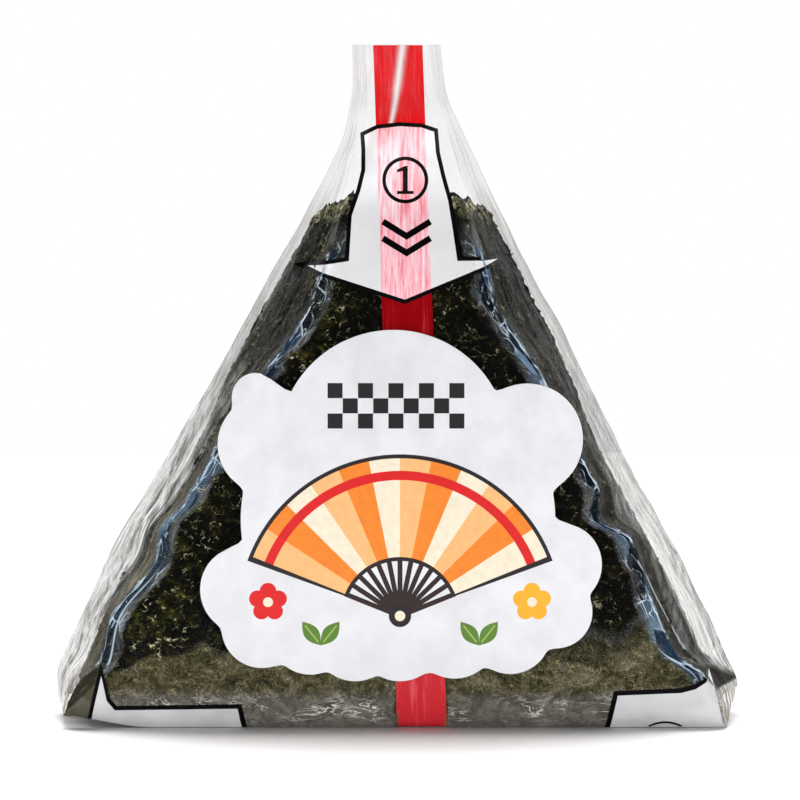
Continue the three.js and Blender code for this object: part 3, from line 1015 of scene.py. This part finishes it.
LABEL_MIDDLE = np.array([-0.3, 32.1])
LABEL_LOBES = np.array([
    (0, 0, 23.8), (-0.7, 11.4, 17.4), (-21.4, 18.5, 3.8), (-19.9, 11.4, 7.4), (19.5, 12.2, 8.5),
    (-23.2, -10.6, 6.8), (-20.6, -16.4, 6.2), (-13.3, -17.5, 6.1), (-6.5, -18.2, 6.4), (0.3, -18.2, 6.4),
    (8.6, -17.8, 6.4), (17, -17.3, 6.2), (23.9, -14, 5.6), (24.5, -6.8, 6.4),
])
LABEL_STEPS = 300


def label_outline():
    """Round lobes about the label's middle: in each direction, the farthest point of any lobe."""
    rim = directions(np.arange(LABEL_STEPS) * 2 * np.pi / LABEL_STEPS)
    along = rim @ LABEL_LOBES[:, :2].T
    room = along**2 - (LABEL_LOBES[:, 0] ** 2 + LABEL_LOBES[:, 1] ** 2) + LABEL_LOBES[:, 2] ** 2
    reach = np.where(room > 0, along + np.sqrt(np.maximum(room, 0)), 0).max(1)
    smoothed = (np.roll(reach, 1) + 2 * reach + np.roll(reach, -1)) / 4
    return LABEL_MIDDLE + rim * smoothed[:, None]


LABEL_PAINTS = {
    "paper": (0.78, 0.78, 0.81),
    "ink": (0.010, 0.006, 0.008),
    "brown": (0.022, 0.008, 0.007),
    "cream": (0.90, 0.80, 0.62),
    "peach": (0.94, 0.50, 0.20),
    "orange": (0.90, 0.24, 0.02),
    "amber": (0.96, 0.44, 0.02),
    "red": (0.72, 0.008, 0.010),
    "green": (0.10, 0.22, 0.022),
    "leaf": (0.36, 0.48, 0.10),
}
PAINT_NUMBER = {name: i for i, name in enumerate(LABEL_PAINTS)}


def turned(points, angle, x, z):
    c, s = math.cos(math.radians(angle)), math.sin(math.radians(angle))
    return np.asarray(points, float) @ np.array([[c, s], [-s, c]]) + [x, z]


def blossom(x, z, radius, petal, heart):
    """Five round petals about a small disc."""
    shapes = []
    for i in range(5):
        angle = math.radians(90 + 72 * i)
        shapes.append((disc(x + 0.58 * radius * math.cos(angle), z + 0.58 * radius * math.sin(angle),
                            0.44 * radius, 20), petal))
    return shapes + [(disc(x, z, 0.26 * radius, 16), heart)]


def fan(x, z, ribs=12, inner=9.0, outer=24.0, start=22, end=158):
    """A folding fan, open upwards: leaves in turn of three colours, dark ribs, and a rivet."""
    middle = (inner + outer) / 2
    width = outer - inner
    step = (end - start) / ribs
    shapes = [(ring_arc(x, z, middle, width + 1.2, start - 2, end + 2, 60), "ink")]
    for i in range(ribs):
        leaf = ring_arc(x, z, middle, width, start + i * step, start + (i + 1) * step, 8)
        shapes.append((leaf, ("cream", "orange", "peach")[i % 3]))
    shapes.append((ring_arc(x, z, outer - 2.6, 1.4, start, end, 60), "red"))
    for i in range(ribs + 1):
        angle = math.radians(start + i * step)
        rim = np.array([math.cos(angle), math.sin(angle)])
        shapes.append((band([rim + [x, z], rim * inner + [x, z]], 0.75), "brown"))
    return shapes + [(disc(x, z, 1.7, 24), "ink"), (disc(x, z, 0.8, 16), "cream")]


def leaf_pair(x, z):
    """Two pointed leaves that spread upwards from one place."""
    t = np.linspace(0, np.pi, 14)
    half = np.stack([4.6 * t / np.pi, 1.15 * np.sin(t)], -1)
    outline = np.concatenate([half, (half * [1, -1])[::-1][1:-1]])
    vein = band([(0.6, 0), (3.9, 0)], 0.22)
    shapes = []
    for angle in (52, 128):
        shapes.append((turned(outline, angle, x, z), "green"))
        shapes.append((turned(vein, angle, x, z), "leaf"))
    return shapes


def chequers(x, z, columns, rows, cell):
    """Squares of a traditional chequered band, every other one dark, centred above a place."""
    square = np.array([(0, 0), (0.99, 0), (0.99, 0.99), (0, 0.99)]) * cell
    corners = [(x + (i - columns / 2) * cell, z + j * cell)
               for i in range(columns) for j in range(rows) if (i + j) % 2 == 0]
    return [(square + corner, "ink") for corner in corners]


def label_motifs():
    """The label's design: an open fan, chequers above it, and a sprig and a blossom at each side."""
    shapes = fan(0.0, 17.5)
    shapes += chequers(-0.6, 46.0, 9, 3, 2.3)
    for side in (-1, 1):
        shapes += leaf_pair(side * 12.0, 13.0)
        shapes += blossom(side * 20.0, 19.6, 2.9, "red" if side < 0 else "amber", "cream")
    return [(np.asarray(shape), PAINT_NUMBER[name]) for shape, name in shapes]


def label_place(flat, out):
    """Places on the label, which bends a little where it reaches over the film's folds."""
    x, z = np.asarray(flat, float).T
    side = np.where(x < lean(z), -1, 1)
    beyond = np.maximum(0, (x - fold_x(FRONT, side, z)) * side)
    wave_out = 0.12 * grain(x / 14, z / 14, 6.5)
    y = -(face_depth(x, z) + LABEL_GAP + out + wave_out) + 0.25 * beyond
    return np.stack([x, y, z], -1)


def label_piece():
    """The label's printed face."""
    flat, faces, paints = inlay(label_outline(), label_motifs(), 1.1)
    return laid_piece("label_face", flat, faces, paints, lambda points: label_place(points, LABEL_THICKNESS))


def label_rim():
    """The label's cut edge and underside."""
    outline = label_outline()
    flat, faces, paints = inlay(outline, [], 2.0)
    under = laid_piece("label_back", flat, faces[:, ::-1], paints, lambda points: label_place(points, 0))
    edge = np.stack([label_place(outline, 0), label_place(outline, LABEL_THICKNESS)])
    rim = mesh_piece("label_edge", edge.reshape(-1, 3), grid_faces(2, len(outline), closed=True))
    return under, rim


def label_materials():
    made = []
    for name, colour in LABEL_PAINTS.items():
        n = Nodes("label_" + name)
        place = n.place()
        tone = tuple(0.9 * c for c in colour)
        shade = n.ramp(n.noise(place, 1.3 if name != "paper" else 5, 4, 0.6), (0.35, tone), (0.65, colour))
        normal = n.bump(n.noise(place, 0.5, 3, 0.5), 0.02, 0.3)
        made.append(n.finish(n.painted(shade, 0.36, 0.4, normal)))
    return made


# Floor, lamps, world and camera

def make_floor():
    mesh = bpy.data.meshes.new("floor")
    corners = [(-0.5, -0.13, 0), (0.5, -0.13, 0), (0.5, 0.5, 0), (-0.5, 0.5, 0)]
    mesh.from_pydata(corners, [], [(0, 1, 2, 3)])
    floor = scene_object("floor", mesh)
    n = Nodes("pale_floor")
    floor.data.materials.append(n.finish(n.painted((0.84, 0.83, 0.83, 1), 0.9)))


def aim(thing, place):
    thing.rotation_euler = (Vector(place) - thing.location).to_track_quat("-Z", "Y").to_euler()


def softbox(name, place, size, power, colour=(1, 1, 1)):
    """A rectangular lamp that faces the middle of the pack."""
    light = bpy.data.lights.new(name, "AREA")
    light.shape = "RECTANGLE"
    light.size, light.size_y = size
    light.energy = power
    light.color = colour
    lamp = scene_object(name, light)
    lamp.location = place
    aim(lamp, (0, 0, 0.05))


def make_world():
    """White to the camera; for light and reflections bright above and behind the pack and dim elsewhere."""
    n = Nodes("studio", world=True)
    toward = n.add("VectorMath", {"operation": "DOT_PRODUCT"})
    n.set(toward.inputs[0], n.add("TexCoord").outputs["Generated"])
    n.set(toward.inputs[1], (0, 0.7, 0.7))
    glow = n.ramp(toward.outputs["Value"], (0.5, 0.03), (0.9, 1.0))
    light = n.add("Background", Color=glow, Strength=2.2)
    seen = n.add("Background", Color=(1, 1, 1, 1))
    camera_ray = n.add("LightPath").outputs["Is Camera Ray"]
    bpy.context.scene.world = n.finish(n.mix_shaders(light.outputs[0], seen.outputs[0], camera_ray))


def make_camera():
    """At the photograph's height and distance, looking at the middle of the pack."""
    distance = 0.7
    elevation = math.radians(4)
    middle = 0.04907
    camera = scene_object("camera", bpy.data.cameras.new("camera"))
    camera.data.lens = 203.2
    camera.data.sensor_width = 36
    camera.location = (0, -distance * math.cos(elevation), middle + distance * math.sin(elevation))
    aim(camera, (0, 0, middle))
    camera.data.clip_start = 0.01
    bpy.context.scene.camera = camera


# The object
film = film_material()
front_film = paint(film_front(), "film", film)
back_film = paint(film_back(), "film", film)
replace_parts(front_film, "wrapper")
paint(nori_body(), "nori", nori_material())
skin = Skin(front_film, FRONT)
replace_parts(paint(tape_piece(skin, Skin(back_film, BACK)), "tear_tape", tape_material()), "pull_tape")
black_ink = print_black_material()
panel_ink = panel_material()
paint(print_piece("pull_arrow", arrow_shapes(), skin), "print", print_white_material(), black_ink)
paint(print_piece("left_panel", left_panel_shapes(), skin), "print", panel_ink, black_ink)
paint(print_piece("right_panel", right_panel_shapes(), skin), "print", panel_ink, black_ink)
label_inks = label_materials()
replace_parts(paint(label_piece(), "label", *label_inks), "label")
for part in label_rim():
    paint(part, "label", label_inks[0])

# The stage
make_floor()
make_world()
softbox("left_box", (-0.55, -0.85, 0.09), (0.6, 0.2), 4.75, (0.98, 0.99, 1.0))
softbox("right_box", (0.55, -0.85, 0.09), (0.6, 0.2), 4.15, (0.98, 0.99, 1.0))
softbox("top_box", (0.0, 0.2, 0.9), (0.6, 0.36), 8)
make_camera()
bpy.context.scene.view_settings.view_transform = "Standard"
